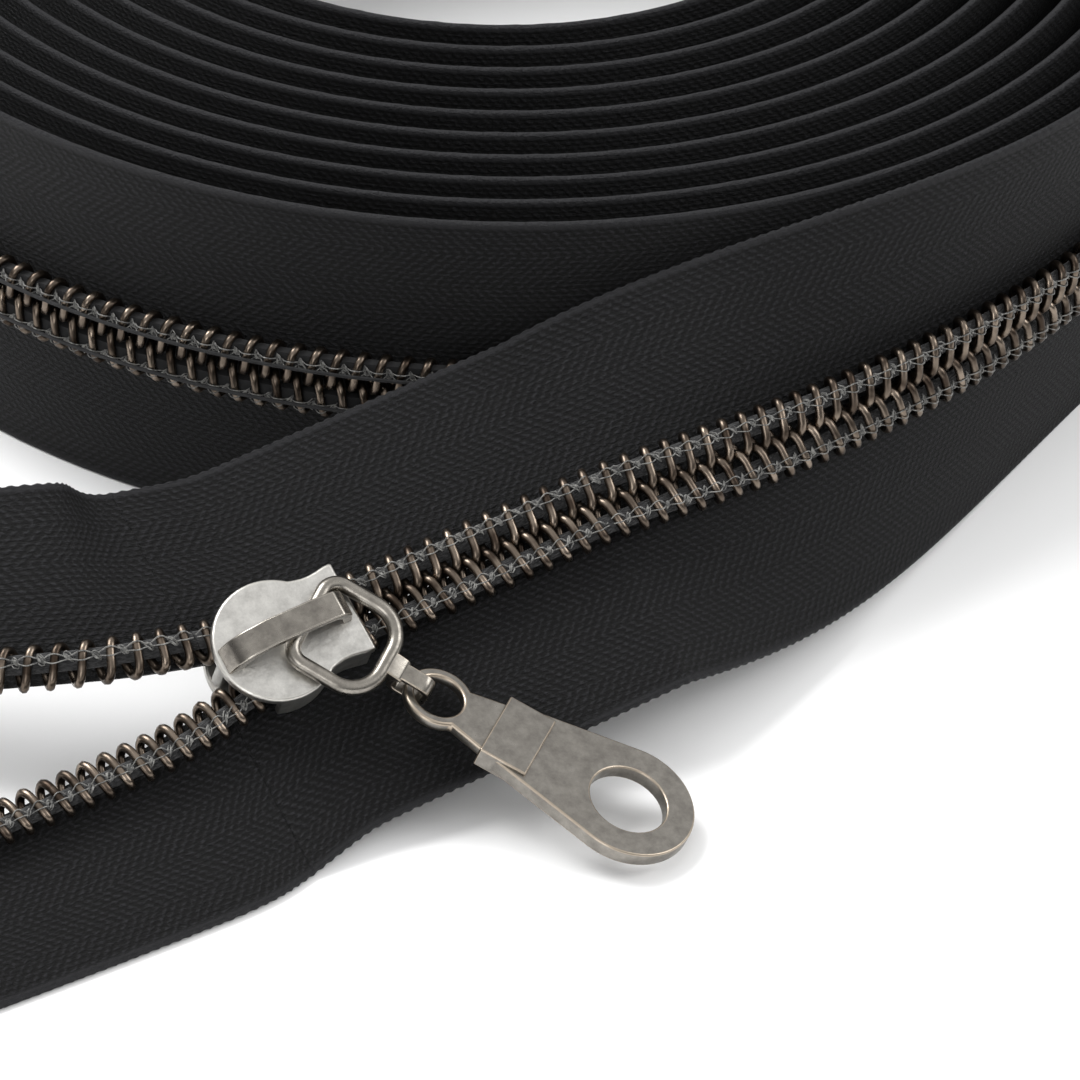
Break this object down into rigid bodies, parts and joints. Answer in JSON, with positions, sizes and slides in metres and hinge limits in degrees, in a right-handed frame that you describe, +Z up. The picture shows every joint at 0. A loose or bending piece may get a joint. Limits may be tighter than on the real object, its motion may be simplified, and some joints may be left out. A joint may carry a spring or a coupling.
{
  "type": "coil zipper",
  "caption": "Coil zipper by the length in a loose standing roll, its outer end opened by a slider with a ring and a holed pull tab.",
  "frame": {"origin": "centre of the object's box in plan, on the ground that the roll stands on", "axes": "+Z up, along the roll's own axis; +X along the straight run, from the open ends to the closed chain; +Y from the run to the roll"},
  "size_m": [0.147, 0.1495, 0.029],
  "materials": {
    "tape": "woven polyester, matt",
    "coil": "gunmetal plated monofilament",
    "filler_cord": "twisted staple cord",
    "thread": "twisted sewing thread",
    "slider_casting": "satin nickel plated casting",
    "slider_strap": "smooth antique nickel",
    "pull": "antique nickel, worn bright on the edges"
  },
  "bodies": {
    "root": {"tape_upper_roll": "tape", "tape_lower_roll": "tape", "coil_upper_roll": "coil", "coil_lower_roll": "coil", "filler_upper_roll": "filler_cord", "filler_lower_roll": "filler_cord", "thread_upper_roll": "thread", "thread_lower_roll": "thread", "tape_upper_lead": "tape", "tape_lower_lead": "tape", "coil_upper_lead": "coil", "coil_lower_lead": "coil", "filler_upper_lead": "filler_cord", "filler_lower_lead": "filler_cord", "thread_upper_lead": "thread", "thread_lower_lead": "thread", "tape_upper_run": "tape", "tape_lower_run": "tape", "coil_upper_run": "coil", "coil_lower_run": "coil", "filler_upper_run": "filler_cord", "filler_lower_run": "filler_cord", "thread_upper_run": "thread", "thread_lower_run": "thread"},
    "slider": {"slider_body": "slider_casting", "slider_bridge": "slider_strap"},
    "pull_link": {"pull_link": "pull"},
    "pull_tab": {"pull_tab": "pull"},
    "upper_stringer": {"tape_upper_open": "tape", "coil_upper_open": "coil", "filler_upper_open": "filler_cord", "thread_upper_open": "thread"},
    "lower_stringer": {"tape_lower_open": "tape", "coil_lower_open": "coil", "filler_lower_open": "filler_cord", "thread_lower_open": "thread"}
  },
  "joints": [
    {"name": "slider_travel", "type": "slide", "parent": "root", "child": "slider", "axis": [0.9877, 0, 0.1564], "range_m": [0, 0.016], "deforming": ["tape_upper_run", "tape_lower_run", "coil_upper_run", "coil_lower_run", "filler_upper_run", "filler_lower_run", "thread_upper_run", "thread_lower_run"]},
    {"name": "upper_stringer_part", "type": "slide", "parent": "root", "child": "upper_stringer", "axis": [-0.0822, 0.851, 0.5187], "range_m": [0, 0.0035]},
    {"name": "lower_stringer_part", "type": "slide", "parent": "root", "child": "lower_stringer", "axis": [0, -1, 0], "range_m": [0, 0.0035]},
    {"name": "link_swing", "type": "hinge", "parent": "slider", "child": "pull_link", "pos_m": [-0.03886, -0.05256, 0.01363], "axis": [-0.7619, -0.4881, -0.4257], "range_deg": [0, 95]},
    {"name": "tab_swing", "type": "hinge", "parent": "pull_link", "child": "pull_tab", "pos_m": [-0.03317, -0.05745, 0.00904], "axis": [-0.7682, -0.6361, -0.0718], "range_deg": [0, 90]}
  ],
  "couplings": [
    {"joint": "upper_stringer_part", "follows": "slider_travel", "ratio": 0.21875},
    {"joint": "lower_stringer_part", "follows": "slider_travel", "ratio": 0.21875}
  ]
}
